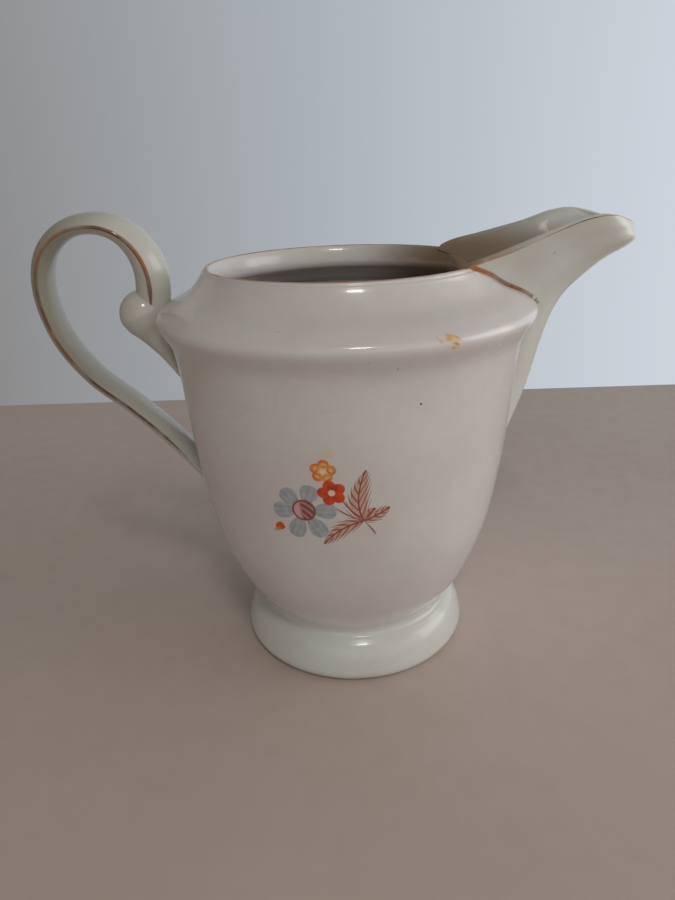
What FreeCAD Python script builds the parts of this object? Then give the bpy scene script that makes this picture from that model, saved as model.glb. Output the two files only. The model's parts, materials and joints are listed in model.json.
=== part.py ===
"""Porcelain cream jug: thin bowl on a bell foot, a luted beak spout and a strap handle with a scroll.

Units are millimetres, +Z is up, the spout points along +X and the handle along -X.
The origin is the centre of the ring that the foot stands on.
"""
import FreeCAD, Part
import math
import os

os.makedirs("parts", exist_ok=True)
Vec = FreeCAD.Vector

# ---------------------------------------------------------------- driving dimensions
RIM_HEIGHT = 90.0        # plane of the mouth
RIM_R = 29.8             # outside radius of the mouth
RIDGE_HEIGHT = 80.0      # the widest line, where shoulder and wall meet
RIDGE_R = 40.4
WAIST_HEIGHT = 10.5      # joint between bowl and foot
WAIST_R = 22.0
WALL = 2.4               # cast wall of bowl and spout
FLOOR = 3.2              # floor of the bowl
FOOT_R = 27.1            # widest radius of the bell foot
FOOT_EDGE = 2.4          # height of that widest line
FOOT_RING_IN = 23.2      # inner edge of the ring that it stands on
FOOT_RING_OUT = 25.7     # outer edge of that ring
FOOT_WALL_TOP = 17.6     # inner radius of the foot where it meets the bowl

SPOUT_TIP = 60.2         # how far the lip reaches from the axis
SPOUT_ROOT_LOW = 46.0    # height where the keel dies into the wall
SPOUT_WALL = 1.9
STEPS = 3                # lofted lengths between two stations of the spout

STRAP_HALF = 5.2         # half the width of the handle strap, at its two edges
STRAP_CROWN = 4.0        # how far the outer face bulges past the edges, where the strap rises
STRAP_DEPTH = 3.4        # how far the inner face bulges past the edges there
STRAP_CROWN_LOW = 1.5    # the same two round the loop and down to the wall
STRAP_DEPTH_LOW = 2.6
STRAP_SECTIONS = 48
SCROLL_R = 5.1           # ball of the scroll under the upper end of the strap


def spline(points):
    """Smooth curve through a few points."""
    curve = Part.BSplineCurve()
    curve.interpolate([Vec(*p) for p in points])
    return curve.toShape()


def line(a, b):
    return Part.makeLine(Vec(*a), Vec(*b))


def arc(a, middle, b):
    return Part.Arc(Vec(*a), Vec(*middle), Vec(*b)).toShape()


def turned(edges):
    """Solid of revolution about Z from closed profile edges in the XZ plane."""
    face = Part.Face(Part.Wire(edges))
    face.rotate(Vec(0, 0, 0), Vec(0, 0, 1), 90)   # the closing line of the surface lies clear of spout and handle
    return face.revolve(Vec(0, 0, 0), Vec(0, 0, 1), 360)


def save(shape, name):
    """Write one named piece after checking that it is one sound solid."""
    solids = shape.Solids
    print(f"{name}: {len(solids)} solid, valid {shape.isValid()}, volume {shape.Volume:.0f} mm3")
    piece = solids[0] if len(solids) == 1 else shape
    piece.exportStep(f"parts/{name}.step")


# ---------------------------------------------------------------- bowl
def bowl_side(inset):
    """Side of the bowl from above the waist to the mouth, moved inwards by the wall."""
    below = [(WAIST_R + 5.4, 18.3), (32.1, 31.0), (34.7, 45.0), (36.1, 58.0), (36.9, 68.0), (38.0, 75.0)]
    ridge = [(RIDGE_R, RIDGE_HEIGHT)]
    above = [(38.2, 82.6), (33.3, 85.3), (30.7, 88.2), (RIM_R, RIM_HEIGHT)]
    return [(r - inset, 0, z) for r, z in below + ridge + above]


def bowl_outside():
    """The bowl as a full solid, used to trim whatever is luted on to it."""
    side = [(WAIST_R, 0, WAIST_HEIGHT)] + bowl_side(0)
    edges = [
        spline(side),
        line(side[-1], (0, 0, RIM_HEIGHT)),
        line((0, 0, RIM_HEIGHT), (0, 0, WAIST_HEIGHT)),
        line((0, 0, WAIST_HEIGHT), side[0]),
    ]
    return turned(edges)


def bowl_inside():
    """The space in the bowl, open at the mouth."""
    floor = WAIST_HEIGHT + FLOOR
    side = [(0, 0, floor), (WAIST_R - 6.0, 0, floor + 1.6)] + bowl_side(WALL)
    top = (side[-1][0], 0, RIM_HEIGHT + 2.0)
    edges = [
        spline(side),
        line(side[-1], top),
        line(top, (0, 0, top[2])),
        line((0, 0, top[2]), (0, 0, floor)),
    ]
    return turned(edges)


# ---------------------------------------------------------------- foot
def foot():
    """Bell foot: a turned ring, hollow underneath."""
    ring_out = (FOOT_RING_OUT, 0, 0)
    widest = (FOOT_R, 0, FOOT_EDGE)
    waist = (WAIST_R, 0, WAIST_HEIGHT)
    ceiling = (FOOT_WALL_TOP, 0, WAIST_HEIGHT)
    ring_in = (FOOT_RING_IN, 0, 0)
    edges = [
        line(ring_in, ring_out),
        arc(ring_out, (FOOT_R - 0.35, 0, 0.9), widest),
        arc(widest, (25.7, 0, 7.9), waist),
        line(waist, ceiling),
        arc(ceiling, (21.6, 0, 6.4), ring_in),
    ]
    return turned(edges)


# ---------------------------------------------------------------- spout
# Each station of the spout: lip x, lip z, half-width at the lip, keel x, keel z, fullness of the sides.
STATIONS = [
    (22.8, 90.0, 17.8, 35.3, SPOUT_ROOT_LOW, 0.00),
    (26.5, 91.2, 18.2, 40.0, 59.5, 0.00),
    (31.0, 92.3, 17.0, 43.1, 72.0, 0.10),
    (36.0, 93.8, 14.9, 46.0, 80.2, 0.38),
    (41.3, 95.6, 12.6, 50.6, 85.2, 0.64),
    (46.6, 97.5, 12.2, 54.4, 88.4, 0.82),
    (51.6, 98.1, 11.3, 57.6, 90.2, 0.92),
    (55.8, 97.0, 7.9, 59.6, 91.4, 1.00),
    (58.6, 95.7, 3.9, SPOUT_TIP + 0.3, 92.6, 1.00),
]
INSIDE_STATION = (8.0, 89.5, 15.0, 20.0, SPOUT_ROOT_LOW, 0.00)   # carries the channel on into the bowl


def side_points(station):
    """Half of a section, from the lip down to the keel, as (height below the lip, half-width)."""
    lip_x, lip_z, half, keel_x, keel_z, fullness = station
    depth = math.hypot(keel_x - lip_x, lip_z - keel_z)
    shares = [(0.0, 1.0), (0.14, 0.64 + 0.35 * fullness), (0.36, 0.40 + 0.54 * fullness)]
    shares += [(0.72, 0.27 + 0.47 * fullness), (1.0, 0.0)]
    return [(depth * h, half * y) for h, y in shares]


def inset_points(points, wall):
    """The same half section moved inwards by the wall."""
    moved = []
    mirror = (points[-2][0], -points[-2][1])
    for before, here, after in zip([points[0]] + points[:-1], points, points[1:] + [mirror]):
        run, rise = after[0] - before[0], after[1] - before[1]
        length = math.hypot(run, rise)
        moved.append((here[0] + wall * rise / length, max(here[1] - wall * run / length, 0.0)))
    return moved


def spout_section(station, points, lift):
    """Closed wire across the spout: a keeled U with its top closed by straight edges."""
    lip = Vec(station[0], 0, station[1])
    down = Vec(station[3], 0, station[4]) - lip
    down.normalize()
    right = [lip + down * h + Vec(0, y, 0) for h, y in points]
    left = [Vec(p.x, -p.y, p.z) for p in reversed(right[:-1])]
    curve = Part.BSplineCurve()
    curve.interpolate(right + left)
    corners = [left[-1], left[-1] - down * lift, right[0] - down * lift, right[0]]
    if lift == 0:
        corners = [left[-1], right[0]]
    straight = [Part.makeLine(a, b) for a, b in zip(corners, corners[1:])]
    return Part.Wire([curve.toShape()] + straight)


def between_stations(stations):
    """The stations with more added between them on smooth curves, so that straight lofting looks smooth."""
    dense = []
    for k in range(len(stations) - 1):
        before, a, b, after = (stations[max(k - 1, 0)], stations[k], stations[k + 1],
                               stations[min(k + 2, len(stations) - 1)])
        for step in range(STEPS):
            t = step / STEPS
            dense.append(tuple(
                q + 0.5 * t * (r - p + t * (2 * p - 5 * q + 4 * r - s + t * (3 * (q - r) + s - p)))
                for p, q, r, s in zip(before, a, b, after)))
    return dense + [stations[-1]]


def spout_hull():
    """Outside of the spout as a full boat-shaped solid."""
    sections = [spout_section(s, side_points(s), 0) for s in between_stations(STATIONS)]
    return Part.makeLoft(sections, True, True)


def spout_channel():
    """The way the cream runs: the hull moved inwards by the wall and open above."""
    stations = [INSIDE_STATION] + between_stations(STATIONS)[:-2]   # the tip beyond stays solid
    sections = [spout_section(s, inset_points(side_points(s), SPOUT_WALL), 6.0) for s in stations]
    return Part.makeLoft(sections, True, True)


# ---------------------------------------------------------------- handle
STRAP_PATH = [
    (-41.8, 81.0), (-41.0, 88.2), (-42.8, 93.6), (-46.7, 97.4), (-52.1, 98.8), (-58.2, 97.5), (-63.0, 92.9),
    (-64.6, 85.2), (-62.5, 75.6), (-56.9, 66.9), (-49.0, 59.8), (-42.0, 52.7), (-36.0, 45.6), (-31.5, 40.0),
]


def strap_section(centre, along, crown, belly):
    """Almond across the strap: its outer face bulges by crown and its inner face by belly."""
    outward = Vec(along.z, 0, -along.x)
    edge_a = centre + Vec(0, STRAP_HALF, 0)
    edge_b = centre - Vec(0, STRAP_HALF, 0)
    outer = Part.Arc(edge_a, centre + outward * crown, edge_b).toShape()
    inner = Part.Arc(edge_b, centre - outward * belly, edge_a).toShape()
    return Part.Wire([outer, inner])


def strap():
    """Handle strap: thick where it rises from the shoulder, thinner round the loop and down to the wall."""
    path = Part.BSplineCurve()
    path.interpolate([Vec(x, 0, z) for x, z in STRAP_PATH])
    sections = []
    for k in range(STRAP_SECTIONS + 1):
        share = k / STRAP_SECTIONS
        at = path.parameterAtDistance(path.length() * share)
        along = path.tangent(at)[0]
        thin = min(max((share - 0.06) / 0.24, 0.0), 1.0)
        thin = thin * thin * (3 - 2 * thin)
        crown = STRAP_CROWN + (STRAP_CROWN_LOW - STRAP_CROWN) * thin
        belly = STRAP_DEPTH + (STRAP_DEPTH_LOW - STRAP_DEPTH) * thin
        sections.append(strap_section(path.value(at), along, crown, belly))
    return Part.makeLoft(sections, True, True)


def scroll():
    """Ball of the scroll with a tail that runs down on to the wall."""
    centre = Vec(-44.2, 0, 80.0)
    tail = Vec(-37.6, 0, 64.5)
    axis = tail - centre
    length = axis.Length
    profile = [
        arc((0, 0, SCROLL_R), (SCROLL_R * math.cos(0.7), 0, SCROLL_R * math.sin(0.7)), (SCROLL_R, 0, -0.8)),
        spline([(SCROLL_R, 0, -0.8), (3.9, 0, -4.4), (1.9, 0, -10.0), (0, 0, -length)]),
        line((0, 0, -length), (0, 0, SCROLL_R)),
    ]
    drop = turned(profile)
    turn = FreeCAD.Rotation(Vec(0, 0, -1), axis)
    drop.Placement = FreeCAD.Placement(centre, turn)
    return drop


def main():
    outside = bowl_outside()
    channel = spout_channel()
    body = outside.cut(bowl_inside()).cut(channel)
    spout = spout_hull().cut(channel).cut(outside)
    handle = strap().cut(outside)
    knob = scroll().cut(outside).cut(handle)
    save(body, "body")
    save(foot(), "foot")
    save(spout, "spout")
    save(handle, "handle")
    save(knob, "handle_scroll")


main()
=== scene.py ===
# %% [markdown]
# A porcelain cream jug, fired in one piece from five that were cast or turned apart:
# a thin bowl with a high shoulder, a bell foot, a beak spout, a strap handle and its scroll.
# The CAD model gives every place and size. Each visible piece is made again here as a smooth
# skin, because glazed porcelain shows every facet in its reflections.

# %% The frame
import json
import math

import bmesh
import bpy
from mathutils import Matrix, Vector

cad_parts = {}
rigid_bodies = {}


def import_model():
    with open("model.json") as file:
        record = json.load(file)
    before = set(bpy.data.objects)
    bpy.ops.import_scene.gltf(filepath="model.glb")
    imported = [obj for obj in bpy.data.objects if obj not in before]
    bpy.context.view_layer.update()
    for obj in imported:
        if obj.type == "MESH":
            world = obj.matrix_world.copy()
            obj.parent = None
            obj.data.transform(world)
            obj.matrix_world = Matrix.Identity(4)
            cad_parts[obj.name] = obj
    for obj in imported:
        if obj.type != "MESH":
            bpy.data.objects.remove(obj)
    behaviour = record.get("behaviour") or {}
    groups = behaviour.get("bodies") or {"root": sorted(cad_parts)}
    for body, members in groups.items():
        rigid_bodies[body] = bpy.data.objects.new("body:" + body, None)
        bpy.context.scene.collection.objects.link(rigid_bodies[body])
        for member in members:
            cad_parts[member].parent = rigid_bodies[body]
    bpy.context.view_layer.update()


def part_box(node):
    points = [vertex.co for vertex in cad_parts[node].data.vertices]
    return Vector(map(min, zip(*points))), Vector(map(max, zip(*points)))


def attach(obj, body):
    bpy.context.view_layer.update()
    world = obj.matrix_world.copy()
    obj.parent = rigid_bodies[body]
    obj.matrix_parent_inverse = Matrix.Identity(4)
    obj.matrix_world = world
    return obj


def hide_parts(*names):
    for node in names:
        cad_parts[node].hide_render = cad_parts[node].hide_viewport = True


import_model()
bowl_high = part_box("body")[1]
foot_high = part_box("foot")[1]
MM = 0.001
RIM_Z = bowl_high.z
WAIST_Z = foot_high.z
RIDGE_R = bowl_high.y
FOOT_R = foot_high.y
print("rim height %.1f mm, widest %.1f mm" % (RIM_Z / MM, 2 * RIDGE_R / MM))

# %% [markdown]
# Outlines are drawn with only a few points each. A Catmull-Rom curve goes smoothly through
# them, the way a potter's rib draws one flowing line through a few set sizes.


# %% A smooth line through a few points
def between(p, q, r, s, t):
    """The value at t between q and r on the smooth curve that also passes p and s."""
    return q + 0.5 * t * (r - p + t * (2 * p - 5 * q + 4 * r - s + t * (3 * (q - r) + s - p)))


def on_curve(rows, where):
    """A row at a fractional place in a list of rows: 2.5 is halfway from the third to the fourth."""
    k = min(max(int(where), 0), len(rows) - 2)
    ends = (rows[max(k - 1, 0)], rows[k], rows[k + 1], rows[min(k + 2, len(rows) - 1)])
    return tuple(between(*values, where - k) for values in zip(*ends))


def smooth_line(rows, steps):
    """The whole curve, with the given number of steps from each row to the next."""
    return [on_curve(rows, k / steps) for k in range((len(rows) - 1) * steps + 1)]


def ease(low, high, value):
    """0 below low, 1 above high, and a smooth step between."""
    t = min(max((value - low) / (high - low), 0.0), 1.0)
    return t * t * (3 - 2 * t)


# %% [markdown]
# A piece starts as a bmesh and ends as an object at the origin, with its place in its mesh.
# Doubles are merged and the normals worked out again each time, since spins and folds leave both
# in a doubtful state. Every piece rides on the jug's one rigid body.


# %% From a bmesh to a piece
WELD = 0.004 * MM


def finish_piece(bm, name, node, material):
    """Turn a bmesh into a smooth piece that stands for a CAD node."""
    mesh = bpy.data.meshes.new(name)
    bmesh.ops.remove_doubles(bm, verts=bm.verts[:], dist=WELD)
    bmesh.ops.recalc_face_normals(bm, faces=bm.faces[:])
    for face in bm.faces:
        face.smooth = True
    bm.to_mesh(mesh)
    bm.free()
    mesh.materials.append(material)
    piece = bpy.data.objects.new(name, mesh)
    bpy.context.scene.collection.objects.link(piece)
    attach(piece, "root")
    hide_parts(node)
    print("%s: %d faces" % (name, len(mesh.polygons)))
    return piece


# %% [markdown]
# Two ways to begin a mesh: a chain of edges, which is later extruded into a skin, and a half
# outline spun round the upright axis, as clay turns on the wheel. A label is a number kept with
# each vertex, such as its distance from an edge. Gold and stains follow the labels.


# %% Chains, turned shapes and labels
def chain(bm, points, closed=False):
    """Vertices joined by edges, along an open or a closed row of points."""
    verts = [bm.verts.new(p) for p in points]
    pairs = list(zip(verts, verts[1:]))
    if closed:
        pairs.append((verts[-1], verts[0]))
    return verts, [bm.edges.new(pair) for pair in pairs]


TURNS = 256


def turn_profile(bm, profile, turns):
    """Spin a chain of (radius, height) once round the upright axis."""
    verts, edges = chain(bm, [(r, 0, z) for r, z in profile])
    bmesh.ops.spin(bm, geom=verts + edges, cent=(0, 0, 0), axis=(0, 0, 1), angle=2 * math.pi,
                   steps=turns, use_merge=True)
    bmesh.ops.remove_doubles(bm, verts=bm.verts[:], dist=0.01 * MM)


def key(place):
    """A point as a dictionary key, rounded so that the same vertex is found again."""
    return tuple(round(c, 7) for c in place)


def label(bm, name, measure):
    """Keep a measure of each vertex's place for the material to read."""
    layer = bm.verts.layers.float.new(name)
    for vert in bm.verts:
        vert[layer] = measure(vert.co)


# %% [markdown]
# Shader maths reads like ordinary maths here. A Wire holds one socket; adding or multiplying
# wires adds the Math node that does it, and abs() works too. Colours go through Mix nodes
# instead, which keep their three channels.


# %% Shader maths as expressions
class Wire:
    """One output socket of a material's nodes, with the operators that this jug's finishes need."""

    def __init__(self, tree, socket):
        self.tree = tree
        self.socket = socket

    def node(self, kind, settings, inputs, output=0):
        """Add a node: its settings first, then its socket values or links, and give one of its outputs."""
        made = self.tree.nodes.new(kind)
        for name, value in settings.items():
            if name == "ramp":
                set_ramp(made.color_ramp, value)
            else:
                setattr(made, name, value)
        plug_in(made, inputs)
        return Wire(self.tree, made.outputs[output])

    def maths(self, operation, *others):
        """A Math node on this value and the others."""
        values = dict(enumerate((self,) + others))
        return self.node("ShaderNodeMath", {"operation": operation}, values)

    def __add__(self, other):
        return self.maths("ADD", other)

    def __sub__(self, other):
        return self.maths("SUBTRACT", other)

    def __mul__(self, other):
        return self.maths("MULTIPLY", other)

    def __truediv__(self, other):
        return self.maths("DIVIDE", other)

    def __rsub__(self, other):
        return self.node("ShaderNodeMath", {"operation": "SUBTRACT"}, {0: other, 1: self})

    def __abs__(self):
        return self.maths("ABSOLUTE")

    __radd__ = __add__
    __rmul__ = __mul__

    def over(self, start, end):
        """0 where the value is at start, 1 where it is at end, and smooth between."""
        ranged = {"Value": self, "From Min": start, "From Max": end}
        return self.node("ShaderNodeMapRange", {"interpolation_type": "SMOOTHSTEP"}, ranged)

    def axis(self, name):
        """One coordinate of a place or direction."""
        return self.node("ShaderNodeSeparateXYZ", {}, {0: self}, name)

    def in_mm(self, name):
        """One coordinate of a place, in millimetres."""
        return self.axis(name) * 1000.0

    def mark(self, name):
        """A label kept in the mesh."""
        return self.node("ShaderNodeAttribute", {"attribute_name": name}, {}, "Fac")

    def noise(self, scale, detail=3.0, squeeze=(1, 1, 1)):
        """Cloudy noise, with its scale in clouds per metre; squeeze stretches it along an axis."""
        place = self.node("ShaderNodeMapping", {}, {"Vector": self, "Scale": squeeze})
        return self.node("ShaderNodeTexNoise", {}, {"Vector": place, "Scale": scale, "Detail": detail})

    def mix(self, low, high):
        """A colour that goes from low to high as this value goes from 0 to 1."""
        return self.node("ShaderNodeMix", {"data_type": "RGBA"}, {0: self, 6: low, 7: high}, 2)


# %% [markdown]
# Three small helpers serve every node: one links or sets sockets, one fills a colour ramp, and one
# turns a colour as a painter names it into the renderer's linear light.


# %% Sockets, ramps and colours
def plug_in(node, sockets):
    """Link or set a node's sockets."""
    for name, value in sockets.items():
        if isinstance(value, Wire):
            value.tree.links.new(value.socket, node.inputs[name])
        else:
            node.inputs[name].default_value = value


def set_ramp(ramp, stops):
    """Put the given (place, colour) stops on a colour ramp."""
    while len(ramp.elements) < len(stops):
        ramp.elements.new(1.0)
    for element, (place, colour) in zip(ramp.elements, stops):
        element.position = place
        element.color = colour


def tint(red, green, blue):
    """A colour as a painter mixes it, from 0 to 255 a channel, in the renderer's linear light."""
    return tuple(((c / 255 + 0.055) / 1.055) ** 2.4 for c in (red, green, blue)) + (1,)


# %% [markdown]
# Hard porcelain is a dense, slightly translucent white body under a clear glaze about a third
# of a millimetre thick. The glaze is the coat of one Principled shader. It is never quite even: it
# clouds a little, dips like orange peel, and holds a few iron specks and fine scratches.


# %% Glaze colours
BODY_TINT = tint(225, 220, 217)
TRIM_TINT = tint(217, 222, 214)
# The spout's glaze: the trim's, a little lighter, as painted light on the spout.
SPOUT_LIT_TINT = tint(224, 227, 219)
# The strap's glaze: the trim's, darker and greyer, as painted shade on the handle and scroll.
STRAP_SHADED_TINT = tint(198, 200, 188)
# Painted shade on the handle's loop.
LOOP_SHADE_TINT = tint(148, 141, 120)
# Painted shade inside the bowl and the spout: a brown darkening.
INSIDE_SHADE_TINT = tint(140, 118, 93)
SHADE_TINT = tint(208, 200, 192)
SPECK_TINT = tint(96, 72, 52)
print("glaze colours mixed; the bowl's is %.2f %.2f %.2f" % BODY_TINT[:3])

# %% [markdown]
# Each of the glaze's faults is a cloudy noise at its own size: clouds of 2 to 3 cm, a grain of
# two millimetres, specks of under half a millimetre. They read the Object coordinates, so they
# lie still on the piece from every side.


# %% The glaze and its faults
def new_finish(name):
    """An empty node material; gives it, a wire on its Object coordinates, and its shader."""
    material = bpy.data.materials.new(name)
    material.use_nodes = True
    tree = material.node_tree
    shader = tree.nodes["Principled BSDF"]
    here = Wire(tree, None).node("ShaderNodeTexCoord", {}, {}, "Object")
    return material, here, shader


def glaze_colour(here, colour):
    """The colour of the glazed body: faint clouds, a little more shade where glaze thins, few specks."""
    clouds = here.noise(38.0).over(0.35, 0.7)
    fine = here.noise(420.0, 2.0).over(0.3, 0.8)
    warm = (clouds * 0.45 + fine * 0.12).mix(colour, SHADE_TINT)
    specks = here.noise(520.0, 1.0).over(0.8, 0.83) * 0.35
    return specks.mix(warm, SPECK_TINT)


def glaze_relief(here):
    """Orange peel and the faint rings that turning leaves, as a bump."""
    peel = here.noise(260.0, 2.0)
    waves = here.noise(45.0, 2.0, (0.3, 0.3, 2.2))
    height = peel * 0.25 + waves * 1.0
    return here.node("ShaderNodeBump", {}, {"Strength": 0.17, "Distance": 0.35 * MM, "Height": height})


def glaze_roughness(here, haziness):
    """Mostly glossy, with hazier clouds and hair-fine scratches from years of wiping."""
    haze = here.noise(30.0).over(0.35, 0.75)
    scratch = here.noise(900.0, 1.0, (0.06, 0.5, 1.6)).over(0.7, 0.78)
    return 0.2 + haziness + haze * 0.1 + scratch * 0.03


GLOSS = {"IOR": 1.5, "Coat Weight": 0.55, "Coat Roughness": 0.07, "Subsurface Weight": 0.12,
         "Subsurface Radius": (1.0, 0.75, 0.5), "Subsurface Scale": 0.002}

# %% [markdown]
# The lines are liquid gold brushed on over the glaze and fired again. Gold this thin goes brown
# at its edges and wears away where fingers and cloths reach, so the line is a band of ochre to
# dark brown with gaps, a little rougher than the glaze.


# %% Worn gold lines
GOLD_DARK = tint(108, 70, 44)
GOLD_LIGHT = tint(190, 124, 68)


def band(distance, half_width):
    """A line as wide as twice half_width, in the units of the distance given, with soft edges."""
    return abs(distance).over(half_width * 1.15, half_width * 0.7)


def gild(here, line):
    """Keep a line where the gold is left, with patches rubbed thin."""
    patches = here.noise(160.0, 4.0).over(0.67, 0.42)
    return line * (0.55 + patches * 0.45)


# %% [markdown]
# Every finish of the jug is made the same way: glaze colour, then whatever is printed, stained or
# painted on as shade, then gold on top, which also roughens it. A hazier glaze has less of its clear coat.


# %% One recipe for every glazed piece
def finish_glaze(name, colour, line_maker=None, print_maker=None, haziness=0.0, browned=0.3):
    """Glaze in a colour, with gold by line_maker, prints, stains and painted shade by print_maker; browned
    darkens gold.
    """
    material, here, shader = new_finish(name)
    surface = glaze_colour(here, colour)
    if print_maker:
        surface = print_maker(here, surface)
    rough = glaze_roughness(here, haziness)
    metal = 0.0
    if line_maker:
        gold = gild(here, line_maker(here))
        tone = here.noise(95.0, 3.0).over(browned, browned + 0.28)
        surface = gold.mix(surface, tone.mix(GOLD_DARK, GOLD_LIGHT))
        rough = rough + gold * 0.14
        metal = gold * 0.05
    coat = GLOSS["Coat Weight"] * (1 - 3 * haziness)
    plug_in(shader, dict(GLOSS, **{"Base Color": surface, "Roughness": rough, "Metallic": metal,
                                   "Coat Weight": coat, "Normal": glaze_relief(here)}))
    return material


# %% [markdown]
# The bowl's side, as radius and height. It swells from the waist, stands almost upright, rolls
# out to a soft ridge and folds back over the shoulder to the mouth.

# %% The bowl's side
WAIST_R = 22.0 * MM
RIM_R = 29.8 * MM
WALL = 2.4 * MM
FLOOR = 3.2 * MM
SIDE = [(WAIST_R, WAIST_Z), (27.4 * MM, 18.3 * MM), (32.1 * MM, 31.0 * MM), (34.7 * MM, 45.0 * MM),
        (36.1 * MM, 58.0 * MM), (36.9 * MM, 68.0 * MM), (38.0 * MM, 75.0 * MM), (RIDGE_R, 80.0 * MM),
        (38.2 * MM, 82.6 * MM), (33.3 * MM, 85.3 * MM), (30.7 * MM, 88.2 * MM), (RIM_R, RIM_Z)]
side_line = smooth_line(SIDE, 8)
print("bowl's side: %d points, ridge %.1f mm across" % (len(side_line), 2 * RIDGE_R / MM))

# %% [markdown]
# The spout and the handle end on the bowl's curved wall, and the gold follows that joint. So two
# measures are needed: the bowl's radius at any height, and how far any point is off its outside.


# %% Measuring from the bowl
def bowl_radius(z):
    """Outside radius of the bowl at a height; above the mouth it stays the mouth's."""
    if z >= RIM_Z:
        return RIM_R
    for (r0, z0), (r1, z1) in zip(side_line, side_line[1:]):
        if z0 <= z <= z1:
            return r0 + (r1 - r0) * (z - z0) / (z1 - z0)
    return WAIST_R


def off_line(point, line):
    """Distance of a point from a line given as points, in two or three dimensions."""
    nearest = 1.0
    for a, b in zip(line, line[1:]):
        along = b - a
        t = min(max((point - a).dot(along) / along.length_squared, 0.0), 1.0)
        nearest = min(nearest, (point - a - along * t).length)
    return nearest


SIDE_POINTS = [Vector(row) for row in side_line]


def off_bowl(point):
    """Distance of a point from the bowl's outside, negative within."""
    radius = math.hypot(point.x, point.y)
    distance = off_line(Vector((radius, point.z)), SIDE_POINTS)
    return -distance if radius < bowl_radius(point.z) and point.z < RIM_Z else distance


# %% [markdown]
# The spout is a keeled beak. Each station gives the lip's distance out, its height and half
# width, then the keel's distance and height, and how full the sides are: 0 is a sharp V at the
# root and 1 a round U at the lip.

# %% The spout's stations
STATIONS = [
    (20.4, 88.8, 16.8, 33.0, 38.0, 0.00),
    (22.8, 90.0, 17.8, 35.3, 46.0, 0.00),
    (26.5, 91.2, 18.2, 40.0, 59.5, 0.00),
    (31.0, 92.3, 17.0, 43.1, 72.0, 0.10),
    (36.0, 93.8, 14.9, 46.0, 80.2, 0.38),
    (41.3, 95.6, 12.6, 50.6, 85.2, 0.64),
    (46.6, 97.5, 12.2, 54.4, 88.4, 0.82),
    (51.6, 98.1, 11.3, 57.6, 90.2, 0.92),
    (55.8, 97.0, 8.3, 59.6, 91.4, 1.00),
    (58.8, 95.7, 4.4, 60.4, 92.5, 1.00),
    (59.8, 95.1, 0.0, 60.6, 93.3, 1.00),
]
SPOUT_WALL = 1.9 * MM
SPOUT_END = len(STATIONS) - 1
print("spout: %d stations, lip %.1f mm high at most" % (len(STATIONS), max(s[1] for s in STATIONS)))

# %% [markdown]
# Any point of the spout comes from two numbers: how far across it lies, from lip to keel to lip,
# and how far along the stations. The seam is where each line along the spout leaves the bowl, found
# by halving: is this point still inside the wall, or already outside?


# %% The spout's surface and its seam
def spout_point(across, along):
    """Point on the spout: across is -1 at one lip, 0 on the keel, 1 at the other; along counts stations."""
    lip_x, lip_z, half, keel_x, keel_z, full = on_curve(STATIONS, along)
    shares = [(0.0, 1.0), (0.14, 0.64 + 0.35 * full), (0.36, 0.40 + 0.54 * full),
              (0.72, 0.27 + 0.47 * full), (1.0, 0.0), (0.72, -0.27 - 0.47 * full)]
    down, out = on_curve(shares, 4 * (1 - abs(across)))
    side = math.copysign(out * max(half, 0.0), across)
    return Vector((lip_x + (keel_x - lip_x) * down, side, lip_z + (keel_z - lip_z) * down)) * MM


def leaves_bowl(across, depth):
    """Where along the spout this line of its skin comes to a given depth under the bowl's outside."""
    low, high = 0.0, SPOUT_END / 2
    for _ in range(HALVINGS):
        middle = (low + high) / 2
        point = spout_point(across, middle)
        if math.hypot(point.x, point.y) < bowl_radius(point.z) - depth:
            low = middle
        else:
            high = middle
    return high


ACROSS = 56
HALVINGS = 24
lines_across = [k / (ACROSS / 2) - 1 for k in range(ACROSS + 1)]
seam = [spout_point(a, leaves_bowl(a, 0.0)) for a in lines_across]
print("seam from %.1f mm down to %.1f mm" % (seam[0].z / MM, min(p.z for p in seam) / MM))

# %% [markdown]
# The bowl is one closed turned skin: its outside, a round rim, its inside and its floor. Behind
# the spout the wall was cut away with a knife before the spout was luted on. So the faces there
# are deleted, the open edge is slid on to the cut, and a strip bridges outer and inner edge.


# %% The cut behind the spout
CUT_LOW = 75.0 * MM
CUT_ROUND = 7.0 * MM
CUT_INSET = 2.0 * MM
half_seam = sorted((p.z, abs(p.y)) for p in seam if p.y <= 0)


def seam_half(z):
    """Half width between the two seams at a height."""
    for (z0, y0), (z1, y1) in zip(half_seam, half_seam[1:]):
        if z0 <= z <= z1 and z1 > z0:
            return y0 + (y1 - y0) * (z - z0) / (z1 - z0)
    return half_seam[-1][1]


def cut_half(z):
    """Half width of the cut at a height: inside the spout's own wall, round at its low end."""
    if z <= CUT_LOW:
        return 0.0
    return (seam_half(z) - CUT_INSET) * math.sqrt(min((z - CUT_LOW) / CUT_ROUND, 1.0))


print("cut behind the spout: from the rim down to %.1f mm" % (CUT_LOW / MM))

# %% [markdown]
# The section goes once round the clay: under the floor, up the outside, over a rolled rim, down
# an upright inner neck, and back along the inner wall to the middle of the floor.


# %% The bowl's section
ROLL = 0.7 * MM
TAPER = 5.0 * MM
INNER_LOW = 19.5 * MM


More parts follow.
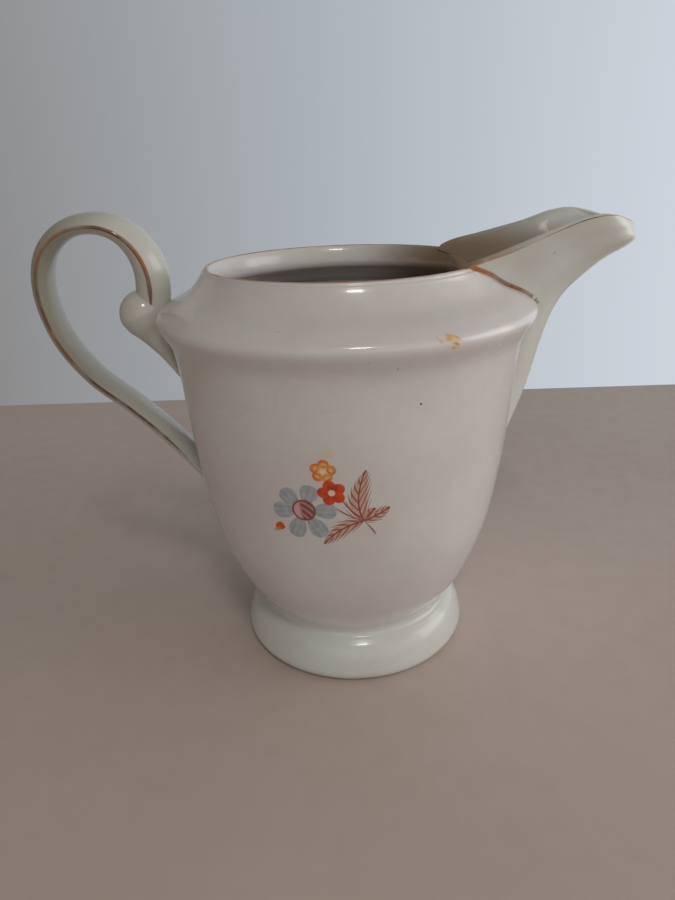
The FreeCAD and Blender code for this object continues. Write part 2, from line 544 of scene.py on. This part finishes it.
def bowl_profile():
    """The bowl's whole section, from the middle of its underside round to the middle of its floor."""
    outer = [Vector(row) for row in side_line if row[1] < RIM_Z - ROLL]
    inner = []
    for before, here, after in zip(outer, outer[1:], outer[2:]):
        along = (after - before).normalized()
        inner.append(here + Vector((-along.y, along.x)) * WALL)
    quarter = [math.pi * k / 12 for k in range(7)]
    crest = RIM_R - ROLL
    lip = [Vector((crest + ROLL * math.cos(a), RIM_Z - ROLL + ROLL * math.sin(a))) for a in quarter]
    lip += [Vector((crest - (WALL - ROLL) * math.sin(a), RIM_Z - TAPER + TAPER * math.cos(a)))
            for a in quarter[1:]]
    floor_z = WAIST_Z + FLOOR
    floor = smooth_line([(24.6 * MM, 18.0 * MM), (20.5 * MM, floor_z + 1.4 * MM),
                         (15.0 * MM, floor_z + 0.3 * MM), (8.0 * MM, floor_z), (0.0, floor_z)], 5)
    wall = [p for p in reversed(inner) if INNER_LOW < p.y < RIM_Z - TAPER - WALL / 2]
    under = [(0.0, WAIST_Z), (8.0 * MM, WAIST_Z), (16.0 * MM, WAIST_Z)]
    return under + [tuple(p) for p in outer + lip + wall] + floor


section = bowl_profile()
print("bowl's section: %d points" % len(section))

# %% [markdown]
# The knife's cut in mesh terms: faces whose middle lies inside the cut are deleted, the vertices on
# the open edge slide along the wall to the true line, and a bridge joins the outer edge to the inner.


# %% Cutting the wall open
def cut_wall(bm):
    """Open the wall behind the spout and close the cut edge again."""
    gone = []
    for face in bm.faces:
        middle = face.calc_center_median()
        if middle.x > 0 and abs(middle.y) < cut_half(middle.z):
            gone.append(face)
    bmesh.ops.delete(bm, geom=gone, context="FACES")
    edge_verts = {v for e in bm.edges if e.is_boundary for v in e.verts}
    for vert in edge_verts:
        radius = math.hypot(vert.co.x, vert.co.y)
        vert.co.y = math.copysign(cut_half(vert.co.z), vert.co.y)
        vert.co.x = math.sqrt(radius ** 2 - vert.co.y ** 2)
    bmesh.ops.remove_doubles(bm, verts=list(edge_verts), dist=0.05 * MM)
    open_edges = [e for e in bm.edges if e.is_boundary]
    across_rim = [e for e in open_edges if min(v.co.z for v in e.verts) > RIM_Z - ROLL - 0.01 * MM]
    bmesh.ops.bridge_loops(bm, edges=[e for e in open_edges if e not in across_rim])
    still_open = [e for e in bm.edges if e.is_boundary]
    bmesh.ops.holes_fill(bm, edges=still_open, sides=0)
    print("bowl: %d faces cut away, %d edges still open"
          % (len(gone), sum(1 for e in bm.edges if not e.is_manifold)))


# %% [markdown]
# A small sprig is printed on the bowl: a grey-blue daisy, a red and an orange flower, a bud, and
# red-brown leaves. It is drawn by formulas in millimetres on the unrolled wall, so it stays
# crisp at any size. Each shape is a function that gives 1 inside and 0 outside.


# %% Drawing on the unrolled wall
WRAP_R = 35.0


class Sheet:
    """Where a shader point lies on the unrolled wall, in millimetres round and up."""

    def __init__(self, across, up):
        self.across = across
        self.up = up

    def turned(self, place, angle):
        """The same sheet with its origin moved to place and its first axis turned to angle, in degrees."""
        c = math.cos(math.radians(angle))
        s = math.sin(math.radians(angle))
        dx = self.across - place[0]
        dy = self.up - place[1]
        return Sheet(dx * c + dy * s, dy * c - dx * s)

    def reach(self):
        """Distance from the origin."""
        return (self.across * self.across + self.up * self.up).maths("SQRT")


def unroll(here):
    """The wall of the bowl as a sheet; 0 round is the side that faces the front."""
    turn = here.axis("X").maths("ARCTAN2", 0.0 - here.axis("Y"))
    return Sheet(turn * WRAP_R, here.in_mm("Z"))


# %% [markdown]
# Two shapes make the flowers. A lens is a petal, round at both ends. A rosette is a circle whose
# edge swells and dips with the angle, once for each petal.


# %% Petals and rosettes
def swell(share):
    """0 at both ends of a petal or leaf, 1 in its middle."""
    return (share * (1.0 - share) * 4.0).maths("MAXIMUM", 0.0)


def lens(sheet, length, width, blunt=1.0):
    """A petal from the origin along the first axis, widest beyond its middle."""
    share = sheet.across / length
    fullness = swell(share).maths("POWER", 0.75 / blunt)
    return (fullness * (share * 0.5 + 0.7) * (width / 2) - abs(sheet.up)).over(0.01, 0.22)


def rosette(sheet, petals, size, notch, tilt=0.0):
    """A round flower with notched edge."""
    angle = sheet.up.maths("ARCTAN2", sheet.across)
    petal = abs((angle * (petals / 2) + tilt).maths("COSINE"))
    edge = (petal * 2.0 * notch + 1.0 - notch) * size
    return edge - sheet.reach()


# %% [markdown]
# A leaf has a saw-toothed edge, a midrib and slanting side veins. All three come from one
# running tooth number along the leaf, so the veins end in the teeth as on a real leaf.


# %% A veined leaf
LEAF_FILL = tint(212, 172, 156)
LEAF_LINE = tint(146, 70, 56)


def leaf(sheet, length, width, teeth):
    """The leaf's fill, and its outline with veins."""
    share = sheet.across / length
    off = abs(sheet.up)
    saw = (share * teeth - off * 0.9).maths("FRACT")
    edge = swell(share).maths("POWER", 0.75) * (0.56 + saw * 0.56) * (width / 2)
    inside = (edge - off).over(0.01, 0.12)
    rim = (edge - off).over(0.34, 0.12)
    vein = abs(saw - 0.5).over(0.24, 0.1) * 0.8
    rib = off.over(0.24, 0.1)
    lines = rim.maths("MAXIMUM", vein.maths("MAXIMUM", rib))
    return inside, inside * lines


# %% [markdown]
# The inks are those of a cheap lithographed transfer: greyed blue, iron red, orange and cream. The
# places are in millimetres on the sheet.

# %% Inks and places
PETAL_BLUE = tint(180, 185, 188)
PETAL_EDGE = tint(138, 147, 156)
DAISY_EYE = tint(150, 72, 68)
DAISY_EYE_PALE = tint(222, 186, 182)
RED = tint(222, 70, 22)
RED_DEEP = tint(180, 36, 14)
ORANGE = tint(222, 112, 32)
AMBER = tint(238, 182, 110)
CREAM = tint(240, 216, 190)
YELLOW = tint(232, 196, 132)
SEPAL_GREEN = tint(170, 160, 84)
RUST = tint(222, 176, 92)
RUST_DEEP = tint(178, 118, 60)
DAISY = (-9.2, 48.2)
LEAF_ROOT = (2.3, 46.0)
print("sprig: daisy at %.1f, %.1f mm, leaves from %.1f, %.1f mm" % (DAISY + LEAF_ROOT))

# %% [markdown]
# The daisy is six loose petals round a dark red eye with pale stripes. Each colour is mixed over
# the one before, as inks are laid on a transfer.


# %% The daisy
def paint_daisy(here, sheet, ground):
    """Six loose oval petals round a striped eye."""
    grain = here.noise(900.0, 3.0).over(0.3, 0.7)
    for angle, length in ((2, 6.4), (72, 5.9), (135, 5.9), (187, 6.5), (249, 7.0), (302, 7.0)):
        own = sheet.turned(DAISY, angle)
        own.across = own.across - 1.7
        petal = lens(own, length - 1.7, 4.0, 1.6)
        vein = (own.up * 5.5).maths("SINE").over(0.2, 0.95)
        tone = (grain * 0.5 + vein * 0.35).mix(PETAL_BLUE, PETAL_EDGE)
        ground = (petal * 0.92).mix(ground, tone)
    own = sheet.turned(DAISY, -32)
    distance = own.reach()
    stripes = (own.up * 5.2 + own.across * own.across * 0.5).maths("SINE").over(-0.1, 0.6)
    pale = (own.across + own.up * 0.8).over(-0.2, -1.3)
    eye = (stripes * 0.42).maths("MAXIMUM", pale * 0.85).mix(DAISY_EYE, DAISY_EYE_PALE)
    ground = distance.over(2.45, 2.2).mix(ground, eye)
    return abs(distance - 2.2).over(0.3, 0.1).mix(ground, DAISY_EYE)


# %% [markdown]
# The two round flowers have five petals each. The orange one is printed as outlines on a pale
# ground, and the red one is solid. A faint bud and a small red berry stand beside them.


# %% The round flowers
def paint_round_flowers(here, sheet, ground):
    """The orange flower in outline, its faint bud, and the solid red flower in front."""
    bud = sheet.turned((-4.0, 60.6), 20)
    ground = ((1.25 - bud.reach()).over(-0.4, 0.7) * 0.35).mix(ground, YELLOW)
    orange = sheet.turned((-5.0, 57.0), 12)
    edge = rosette(orange, 5, 2.15, 0.14)
    ground = edge.over(-0.12, 0.16).mix(ground, AMBER)
    outline = abs(edge - 0.28).over(0.42, 0.2)
    fold_line = abs(rosette(orange, 5, 1.05, 0.3, math.pi / 2)).over(0.34, 0.14)
    blots = here.noise(700.0, 2.0).over(0.4, 0.6)
    ground = (outline.maths("MAXIMUM", fold_line) * (0.6 + blots * 0.4)).mix(ground, ORANGE)
    ground = orange.reach().over(0.75, 0.45).mix(ground, CREAM)
    red = sheet.turned((-3.6, 52.4), 34)
    shade = here.noise(800.0, 2.0).over(0.4, 0.7)
    ground = rosette(red, 5, 2.45, 0.15).over(-0.1, 0.16).mix(ground, (shade * 0.8).mix(RED, RED_DEEP))
    ground = red.reach().over(0.8, 0.5).mix(ground, CREAM)
    spot = sheet.turned((-14.9, 43.6), 30)
    ground = lens(spot.turned((-1.1, 0.0), 0), 2.3, 2.1, 1.8).mix(ground, RED)
    green = sheet.turned((-16.5, 42.3), 25)
    return (lens(green, 2.0, 1.2, 1.4) * 0.7).mix(ground, SEPAL_GREEN)


# %% [markdown]
# All leaves and stems start at one root. Each lies on its own turned copy of the sheet, bent a
# little by adding a term that grows with the square of the distance.


# %% The leaves
def paint_leaves(sheet, ground):
    """A small leaf and three larger ones from one root, with a thorn and two thin stems to the flowers."""
    leaves = ((57, 3.6, 2.6, 3, 0.02), (116, 9.9, 5.2, 6, 0.054), (22, 5.7, 3.0, 4, -0.02),
              (192, 9.1, 3.9, 5, -0.045))
    for angle, length, width, teeth, droop in leaves:
        own = sheet.turned(LEAF_ROOT, angle)
        own.up = own.up + own.across * own.across * droop
        inside, lines = leaf(own, length, width, teeth)
        ground = inside.mix(ground, LEAF_FILL)
        ground = lines.mix(ground, LEAF_LINE)
    for angle, length in ((-48, 4.2), (160, 6.2), (140, 6.6)):
        own = sheet.turned(LEAF_ROOT, angle)
        own.up = own.up + own.across * own.across * 0.03
        ground = (lens(own, length, 0.58, 2.4) * 0.9).mix(ground, LEAF_LINE)
    return ground


# %% [markdown]
# Two things go over the print: a small yellow stain on the ridge, and painted shade inside, a brown
# darkening that is deepest low down, towards the spout, and on the knife's cut.


# %% A stain, painted shade inside, and everything on the bowl's glaze
def paint_stain(here, sheet, ground):
    """A rubbed yellow and orange stain where the ridge was chipped at the glaze."""
    own = sheet.turned((15.7, 80.7), -22)
    patch = lens(own.turned((-2.4, 0.0), 0), 5.0, 2.6, 1.2) * here.noise(520.0, 3.0).over(0.38, 0.6)
    ground = (patch * 0.95).mix(ground, RUST)
    heart = lens(own.turned((0.2, -0.1), 0), 1.6, 0.6) * 0.7
    return heart.mix(ground, RUST_DEEP)


def paint_inside_shade(here, ground):
    """Painted shade: a brown darkening inside the bowl and on the cut under the spout."""
    height = here.in_mm("Z")
    low_down = height.over(82.0, 62.0)
    way_out = here.in_mm("X").over(2.0, 24.0)
    # Painted shade, deepest low down and towards the spout.
    deep = here.mark("inside") * low_down.maths("MAXIMUM", way_out) * 0.95
    # Painted shade on the cut under the spout.
    root = here.mark("under_spout").over(0.2, 0.9) * height.over(72.0, 75.0) * 0.95
    return deep.maths("MAXIMUM", root).mix(ground, INSIDE_SHADE_TINT)


def print_bowl(here, ground):
    """The sprig, a stain, one iron speck, and the painted shade inside."""
    sheet = unroll(here)
    ground = paint_leaves(sheet, ground)
    ground = paint_daisy(here, sheet, ground)
    ground = paint_round_flowers(here, sheet, ground)
    ground = paint_stain(here, sheet, ground)
    speck = sheet.turned((12.4, 69.2), 0).reach().over(0.3, 0.12)
    return paint_inside_shade(here, speck.mix(ground, SPECK_TINT))


# %% [markdown]
# Gold runs on the crest of the rim and along the seam between spout and shoulder. The rim's line
# is measured by radius. The seam's line is measured from the labels, signed so that a line
# between two vertices on either side of the seam still passes through zero.


# %% The bowl's gold and its labels
def bowl_lines(here):
    """A thin gold line on the crest of the rim, and one where spout and shoulder meet."""
    height = here.in_mm("Z")
    flat = here.node("ShaderNodeVectorMath", {"operation": "MULTIPLY"}, {0: here, 1: (1, 1, 0)})
    radius = here.node("ShaderNodeVectorMath", {"operation": "LENGTH"}, {0: flat}, 1) * 1000.0
    crest = radius - (RIM_R - ROLL) / MM
    rim = height.over(RIM_Z / MM - 0.6, RIM_Z / MM - 0.4) * band(crest, 0.4)
    off = here.mark("off_seam")
    joint = band(off, 0.55) * height.over(80.5, 81.4) * (1.0 - here.mark("inside"))
    return (rim * off.over(-0.3, 0.1)).maths("MAXIMUM", joint)


FAR = 20.0
GOLD_LOW = 77 * MM
gold_seams = [[p for p in seam if p.y * side >= 0 and p.z > GOLD_LOW] for side in (-1, 1)]


def off_seam(place):
    """Distance from the gold part of the seam, in millimetres, negative under the spout."""
    if place.x < 18 * MM or place.z < 74 * MM:
        return FAR
    distance = min(off_line(place, side) for side in gold_seams) / MM
    return -distance if abs(place.y) < seam_half(place.z) else distance


def inside_bowl(place):
    """1 on the bowl's inner wall and floor, 0 on its outside."""
    within = math.hypot(place.x, place.y) < bowl_radius(place.z) - WALL / 2
    return float(within and place.z > WAIST_Z + 1 * MM)


def under_spout(place):
    """How far a point on the spout's side of the bowl lies inside the seam, in millimetres."""
    return (seam_half(place.z) - abs(place.y)) / MM if place.x > 0 else -FAR


print("gold along %d and %d points of the seam" % tuple(len(side) for side in gold_seams))

# %% [markdown]
# Now the bowl itself: turned, cut open, labelled and glazed.

# %% The bowl
bm = bmesh.new()
turn_profile(bm, section, TURNS)
cut_wall(bm)
label(bm, "off_seam", off_seam)
label(bm, "inside", inside_bowl)
label(bm, "under_spout", under_spout)
wall_finish = finish_glaze("wall_glaze_skin", BODY_TINT, bowl_lines, print_bowl)
bowl = finish_piece(bm, "bowl_skin", "body", wall_finish)

# %% [markdown]
# The foot is a turned bell with a flat ring to stand on. The ring is left bare of glaze so that
# the jug doesn't stick to the kiln shelf, and it goes grey with use.


# %% The foot
RING_GREY = tint(150, 138, 120)
RING_BARE = tint(176, 164, 146)


def foot_profile():
    """The foot's section, from its fillet on the bowl down to the ring and up its hollow."""
    rows = [(23.7 * MM, 13.4 * MM), (23.05 * MM, 11.9 * MM), (22.85 * MM, 10.8 * MM), (23.2 * MM, 9.9 * MM),
            (24.1 * MM, 9.2 * MM), (25.3 * MM, 8.0 * MM), (26.4 * MM, 5.6 * MM), (FOOT_R, 2.5 * MM),
            (FOOT_R - 0.35 * MM, 0.9 * MM), (25.7 * MM, 0.0)]
    hollow = [(23.2 * MM, 0.0), (22.9 * MM, 2.4 * MM), (21.6 * MM, 6.4 * MM), (19.8 * MM, 9.2 * MM),
              (17.6 * MM, WAIST_Z + 0.2 * MM)]
    return smooth_line(rows, 6) + [(24.5 * MM, 0.0)] + smooth_line(hollow, 5)


def bare_ring(here, ground):
    """Unglazed ring, patchy grey on the glaze just above it towards the bottom edge, and the bowl's own
    warmer colour in the fillet.
    """
    height = here.in_mm("Z")
    ground = height.over(9.8, 12.6).mix(ground, BODY_TINT)
    # Patchy grey towards the bottom edge of the foot.
    low_grey = height.over(2.2, 0.5) * here.noise(140.0).over(0.3, 0.7) * 0.35
    ground = low_grey.mix(ground, RING_GREY)
    return height.over(0.3, 0.1).mix(ground, RING_BARE)


bm = bmesh.new()
profile = foot_profile()
turn_profile(bm, profile + profile[:1], TURNS)
foot_finish = finish_glaze("trim_glaze_foot", TRIM_TINT, print_maker=bare_ring)
foot = finish_piece(bm, "foot_skin", "foot", foot_finish)

# %% [markdown]
# The spout's skin starts as a row of vertices just under the bowl's surface, one for each line of
# the skin, and is extruded station by station to the tip, where its two sides fold together.
# Solidify gives it the cast wall and Bevel rounds the pouring lip.


# %% Rows of the spout
SPOUT_STEPS = 46
START_DEPTH = 1.5 * MM
LIP_SINK = 0.6 * MM


def extrude_rows(bm, rows, closed=False):
    """A skin through rows of points: the first row is a chain, and each next row is extruded from it."""
    verts, edges = chain(bm, rows[0], closed)
    for row in rows[1:]:
        grown = set(bmesh.ops.extrude_edge_only(bm, edges=edges)["geom"])
        verts = [next(e.other_vert(v) for e in v.link_edges if e.other_vert(v) in grown) for v in verts]
        for vert, place in zip(verts, row):
            vert.co = place
        pairs = list(zip(verts, verts[1:]))
        if closed:
            pairs.append((verts[-1], verts[0]))
        edges = [bm.edges.get(pair) for pair in pairs]


def spout_rows():
    """Rows across the spout, closer together towards the tip; the lip starts sunk in the bowl's rim."""
    starts = [leaves_bowl(a, START_DEPTH) for a in lines_across]
    shares = [1 - (1 - k / SPOUT_STEPS) ** 1.5 for k in range(SPOUT_STEPS + 1)]
    rows = []
    for share in shares:
        row = [spout_point(a, v + (SPOUT_END - v) * share) for a, v in zip(lines_across, starts)]
        sink = LIP_SINK * (1 - ease(0.0, 0.04, share))
        rows.append([p - Vector((0, 0, sink * abs(a) ** 3)) for p, a in zip(row, lines_across)])
    return rows


def below_lip(rows):
    """Distance of each point of the rows from the lip of its own row, in millimetres."""
    return {key(p): (p - row[0 if p.y < 0 else -1]).length / MM for row in rows for p in row}


rows = spout_rows()
print("spout's skin: %d rows of %d points" % (len(rows), len(rows[0])))

# %% [markdown]
# Gold follows the pouring lip and the seam on the shoulder. The inside has no gold; it is duller
# than the outside and carries painted shade, a brown darkening, so it has a finish of its own. Solidify
# gives the inner wall and the lip's edge that second finish.


# %% The spout's finishes and its wall
def lip_line(here):
    """Gold along the pouring lip and along the upper seam."""
    joint = band(here.mark("off_bowl"), 0.75) * here.in_mm("Z").over(80.2, 81.2)
    return here.mark("below_lip").over(0.9, 0.6).maths("MAXIMUM", joint)


def paint_spout_shade(here, ground):
    """Painted shade inside the spout: a brown darkening, deepest low down at the root."""
    return (here.in_mm("Z").over(98.6, 90.0) * 0.95).mix(ground, INSIDE_SHADE_TINT)


def thicken(piece, wall, edge):
    """Give a sheet its wall, inwards and thinner towards the lip, and round its free edge."""
    group = piece.vertex_groups.new(name="full_wall")
    for vert, mark in zip(piece.data.vertices, piece.data.attributes["below_lip"].data):
        group.add([vert.index], ease(0.0, 5.0, mark.value), "REPLACE")
    solid = piece.modifiers.new("wall", "SOLIDIFY")
    solid.thickness = wall
    solid.offset = -1
    solid.use_even_offset = False
    solid.vertex_group = "full_wall"
    solid.thickness_vertex_group = 0.42
    solid.material_offset = 1
    solid.material_offset_rim = 1
    rounded = piece.modifiers.new("round_edge", "BEVEL")
    rounded.width = edge
    rounded.segments = 4
    rounded.limit_method = "ANGLE"
    rounded.angle_limit = math.radians(50)


spout_finish = finish_glaze("trim_glaze_spout", SPOUT_LIT_TINT, line_maker=lip_line, haziness=0.1)
inside_finish = finish_glaze("trim_glaze_inside", TRIM_TINT, print_maker=paint_spout_shade, haziness=0.25)
print("finishes: %s outside, %s inside" % (spout_finish.name, inside_finish.name))

# %% [markdown]
# With rows, labels and finishes ready, the spout is made in a few lines. A vertex without a
# label would lie far from every line, so it gets a distance that no gold reaches.

# %% The spout
NO_LINE = 9.0
bm = bmesh.new()
extrude_rows(bm, rows)
lip_distance = below_lip(rows)
label(bm, "below_lip", lambda place: lip_distance.get(key(place), NO_LINE))
label(bm, "off_bowl", lambda place: off_bowl(place) / MM)
spout = finish_piece(bm, "spout_skin", "spout", spout_finish)
spout.data.materials.append(inside_finish)
thicken(spout, SPOUT_WALL, 0.35 * MM)

# %% [markdown]
# The handle is a strap of almond section: its outer face is crowned, its inner face bulges too,
# and they meet in two soft edges that carry the gold. It is thick where it rises from the
# shoulder and thinner round the loop. Its ends sink just under the bowl's surface.

# %% The strap's section
STRAP_PATH = [
    (-41.8, 80.0), (-41.0, 88.2), (-42.8, 93.6), (-46.7, 97.4), (-52.1, 98.8), (-58.2, 97.5), (-63.0, 92.9),
    (-64.6, 85.2), (-62.5, 75.6), (-56.9, 66.9), (-49.0, 59.8), (-42.0, 52.7), (-36.0, 45.6), (-31.5, 40.0),
]
STRAP_HALF = 5.2
STRAP_STEPS = 110
EDGE_STEPS = 14


def arc_across(half, rise):
    """Points (across, out) of an arc from one edge of the strap to the other, closer at the edges."""
    radius = (half * half + rise * rise) / (2 * rise)
    spread = math.asin(min(half / radius, 1.0))
    turns = [spread * math.cos(math.pi * k / EDGE_STEPS) for k in range(EDGE_STEPS)]
    return [(radius * math.sin(a), rise - radius + radius * math.cos(a)) for a in turns]


def strap_half(share):
    """Half width of the strap at a share of its length: narrower where it goes into the scroll."""
    return STRAP_HALF * (0.66 + 0.34 * ease(0.0, 0.10, share))


def strap_section(share):
    """The almond at a share of the strap's length, as (across, out) in millimetres."""
    thin = ease(0.06, 0.30, share)
    half = strap_half(share)
    outer = arc_across(half, min(4.0 - 2.5 * thin, half))
    inner = arc_across(half, min(3.4 - 0.8 * thin, half))
    return outer + [(-across, -out) for across, out in inner]


print("strap: %.1f mm wide, %.1f mm at its upper end" % (2 * strap_half(1.0), 2 * strap_half(0.0)))

# %% [markdown]
# Each section stands square to the path. The gold's label is the distance from the strap's nearest
# edge, and it grows towards both ends, so the gold thins out there as the brush was lifted.


# %% Rows of the strap
SINK = 1.0 * MM


def under_skin(place):
    """Keep a point no deeper than a little under the bowl's surface."""
    radius = math.hypot(place.x, place.y)
    least = bowl_radius(place.z) - SINK
    if radius >= least or place.z > RIM_Z:
        return place
    return Vector((place.x * least / radius, place.y * least / radius, place.z))


def strap_rows():
    """Sections of the strap, evenly along its path, with each point's distance from the nearest edge."""
    path = [Vector((x, 0, z)) * MM for x, z in smooth_line(STRAP_PATH, 24)]
    lengths = [0.0]
    for a, b in zip(path, path[1:]):
        lengths.append(lengths[-1] + (b - a).length)
    rows = []
    marks = {}
    for step in range(STRAP_STEPS + 1):
        share = step / STRAP_STEPS
        k = max(i for i, length in enumerate(lengths) if length <= lengths[-1] * share + 1e-9)
        k = min(k, len(path) - 2)
        part = (lengths[-1] * share - lengths[k]) / (lengths[k + 1] - lengths[k])
        centre = path[k].lerp(path[k + 1], part)
        along = (path[min(k + 2, len(path) - 1)] - path[max(k - 1, 0)]).normalized()
        outward = Vector((-along.z, 0, along.x))
        half = strap_half(share)
        row = []
        for across, out in strap_section(share):
            place = under_skin(centre + outward * out * MM + Vector((0, across, 0)) * MM)
            edge = math.hypot(half - abs(across), out)
            marks[key(place)] = edge + 6 * max(share - 0.84, 0.0) + 12 * max(0.05 - share, 0.0)
            row.append(place)
        rows.append(row)
    return rows, marks


rows, marks = strap_rows()
print("strap's skin: %d rows of %d points" % (len(rows), len(rows[0])))

# %% [markdown]
# The strap is extruded along its rows like the spout, but as a closed loop, and filled at both ends.
# Its gold has gone browner than the rest, and the loop carries painted shade, darker towards its outer end.


# %% The handle
def strap_line(here):
    """Gold along both edges of the strap."""
    return here.mark("off_edge").over(0.62, 0.38)


def paint_loop_shade(here, ground):
    """Painted shade: a faint brown darkening towards the outer end of the loop, away from the window."""
    return (here.in_mm("X").over(-44.0, -64.0) * 0.75).mix(ground, LOOP_SHADE_TINT)


bm = bmesh.new()
extrude_rows(bm, rows, closed=True)
bmesh.ops.holes_fill(bm, edges=[e for e in bm.edges if e.is_boundary], sides=0)
label(bm, "off_edge", lambda place: marks.get(key(place), NO_LINE))
strap_finish = finish_glaze("trim_glaze_strap", STRAP_SHADED_TINT, strap_line, paint_loop_shade, 0.05, browned=0.5)
strap = finish_piece(bm, "handle_strap", "handle", strap_finish)

# %% [markdown]
# Under the upper end of the strap hangs a scroll: a round knob with a tail that runs down on to
# the wall. It is a drop turned by a spin and then tilted into place.

# %% The scroll
SCROLL_R = 5.3
SCROLL_CENTRE = Vector((-44.2, 0, 80.0))
SCROLL_TAIL = Vector((-37.6, 0, 64.5))


def draw_scroll(bm):
    """Turn the drop upright, tilt it along its axis, and keep it out of the bowl's inside."""
    axis = SCROLL_TAIL - SCROLL_CENTRE
    ball = [(SCROLL_R * math.sin(a), SCROLL_R * math.cos(a)) for a in (math.pi * k / 32 for k in range(17))]
    tail = smooth_line([(SCROLL_R, 0.0), (4.7, -2.3), (3.3, -5.0), (1.5, -10.0), (0.0, -axis.length)], 6)
    turn_profile(bm, [(r * MM, z * MM) for r, z in ball + tail[1:]], 64)
    tilt = Vector((0, 0, -1)).rotation_difference(axis).to_matrix().to_4x4()
    bmesh.ops.transform(bm, matrix=Matrix.Translation(SCROLL_CENTRE * MM) @ tilt, verts=bm.verts[:])
    for vert in bm.verts:
        vert.co = under_skin(vert.co)


bm = bmesh.new()
draw_scroll(bm)
# The scroll shares the strap's darker glaze, which is painted shade.
scroll_finish = finish_glaze("trim_glaze_scroll", STRAP_SHADED_TINT)
scroll = finish_piece(bm, "scroll_drop", "handle_scroll", scroll_finish)

# %% [markdown]
# The jug stands on a pale matt table top. Blender's own first cube, lamp and camera are cleared
# away before the table is laid.


# %% The table
TABLE_PALE = tint(206, 190, 180)
TABLE_DEEP = tint(190, 172, 160)


def table_finish():
    """Pale pinkish laminate with faint clouds."""
    material, here, shader = new_finish("table_top")
    clouds = here.noise(9.0, 5.0).over(0.3, 0.75)
    grain = here.noise(160.0, 3.0).over(0.35, 0.7)
    colour = (clouds * 0.5 + grain * 0.15).mix(TABLE_PALE, TABLE_DEEP)
    plug_in(shader, {"Base Color": colour, "Roughness": 0.5 + grain * 0.1})
    return material


def lay_table(left, right, front, back):
    """A flat sheet at height 0 between four sides, in metres."""
    bm = bmesh.new()
    bmesh.ops.create_grid(bm, x_segments=4, y_segments=4, size=0.5)
    bmesh.ops.scale(bm, vec=(right - left, back - front, 1), verts=bm.verts[:])
    bmesh.ops.translate(bm, vec=((left + right) / 2, (front + back) / 2, 0), verts=bm.verts[:])
    mesh = bpy.data.meshes.new("table")
    bm.to_mesh(mesh)
    bm.free()
    mesh.materials.append(table_finish())
    table = bpy.data.objects.new("table", mesh)
    bpy.context.scene.collection.objects.link(table)


for spare in list(bpy.data.objects):
    if spare.name in ("Cube", "Light", "Camera"):
        bpy.data.objects.remove(spare)
lay_table(-1.0, 1.0, -1.2, 0.181)
print("table laid, 2 m wide")

# %% [markdown]
# Glaze is a mirror, so the room matters as much as the lamps. Its walls go from brown at the left
# to bright at the right, where the window is, with a pale front and a dim ceiling. A soft box stands
# for the window and a small one for the ceiling lamp that leaves the highlights.


# %% The light
def soft_light(name, place, target, size, power, colour):
    """A square soft box that faces a target."""
    lamp = bpy.data.lights.new(name, "AREA")
    lamp.size = size
    lamp.energy = power
    lamp.color = colour
    box = bpy.data.objects.new(name, lamp)
    box.location = place
    box.rotation_euler = (Vector(target) - Vector(place)).to_track_quat("-Z", "Y").to_euler()
    bpy.context.scene.collection.objects.link(box)


def light_room():
    """Walls by direction, then the window and the lamp, both aimed at the jug's middle."""
    world = bpy.data.worlds.new("room")
    world.use_nodes = True
    sky = world.node_tree.nodes["Background"]
    look = Wire(world.node_tree, None).node("ShaderNodeTexCoord", {}, {}, "Generated")
    side = look.axis("X") * 0.5 + 0.5
    stops = [(0.0, tint(78, 64, 50)), (0.15, tint(110, 102, 94)), (0.3, tint(145, 146, 148)),
             (0.5, tint(173, 180, 186)), (0.7, tint(203, 210, 219)), (1.0, tint(236, 238, 240))]
    walls = side.node("ShaderNodeValToRGB", {"ramp": stops}, {"Fac": side})
    front = look.axis("Y").over(0.0, -0.7) * side.over(0.1, 0.45)
    overhead = look.axis("Z").over(0.25, 0.85) * 0.8
    lit = front.mix(walls, tint(222, 221, 220))
    plug_in(sky, {"Color": overhead.mix(lit, tint(88, 80, 74)), "Strength": 1.0})
    bpy.context.scene.world = world
    middle = (0, 0, 0.05)
    soft_light("window", (0.64, -0.03, 0.2), middle, 0.45, 0.95, (1.0, 1.0, 1.0))
    soft_light("lamp", (0.07, -0.42, 0.6), middle, 0.11, 0.65, (1.0, 0.97, 0.94))


light_room()
bpy.context.scene.view_settings.view_transform = "Standard"
print("lights: %s" % ", ".join(lamp.name for lamp in bpy.data.lights if lamp.type == "AREA"))

# %% [markdown]
# The camera stands close, as a hand-held one does, a little above the rim and looking down, so
# the spout and the handle swell towards the edges of the picture.

# %% The camera
def place_camera(place, yaw, pitch, roll, lens):
    """Angles in degrees: yaw to the left is negative, pitch is how far it looks down."""
    yaw, pitch, roll = (math.radians(a) for a in (yaw, pitch, roll))
    ahead = Vector((math.sin(yaw) * math.cos(pitch), math.cos(yaw) * math.cos(pitch), -math.sin(pitch)))
    level = Vector((math.cos(yaw), -math.sin(yaw), 0))
    upright = level.cross(ahead)
    right = level * math.cos(roll) + upright * math.sin(roll)
    up = upright * math.cos(roll) - level * math.sin(roll)
    camera = bpy.data.objects.new("camera", bpy.data.cameras.new("camera"))
    camera.data.lens = lens
    camera.data.clip_start = 0.005
    turn = Matrix((right, up, -ahead)).transposed().to_4x4()
    camera.matrix_world = Matrix.Translation(place) @ turn
    bpy.context.scene.collection.objects.link(camera)
    bpy.context.scene.camera = camera


EYE = Vector((0, -0.1482, 0.1089))
place_camera(EYE, -1.14, 22.95, -2.17, 27.04)
print("camera %.0f mm from the jug's axis" % (math.hypot(EYE.x, EYE.y) / MM))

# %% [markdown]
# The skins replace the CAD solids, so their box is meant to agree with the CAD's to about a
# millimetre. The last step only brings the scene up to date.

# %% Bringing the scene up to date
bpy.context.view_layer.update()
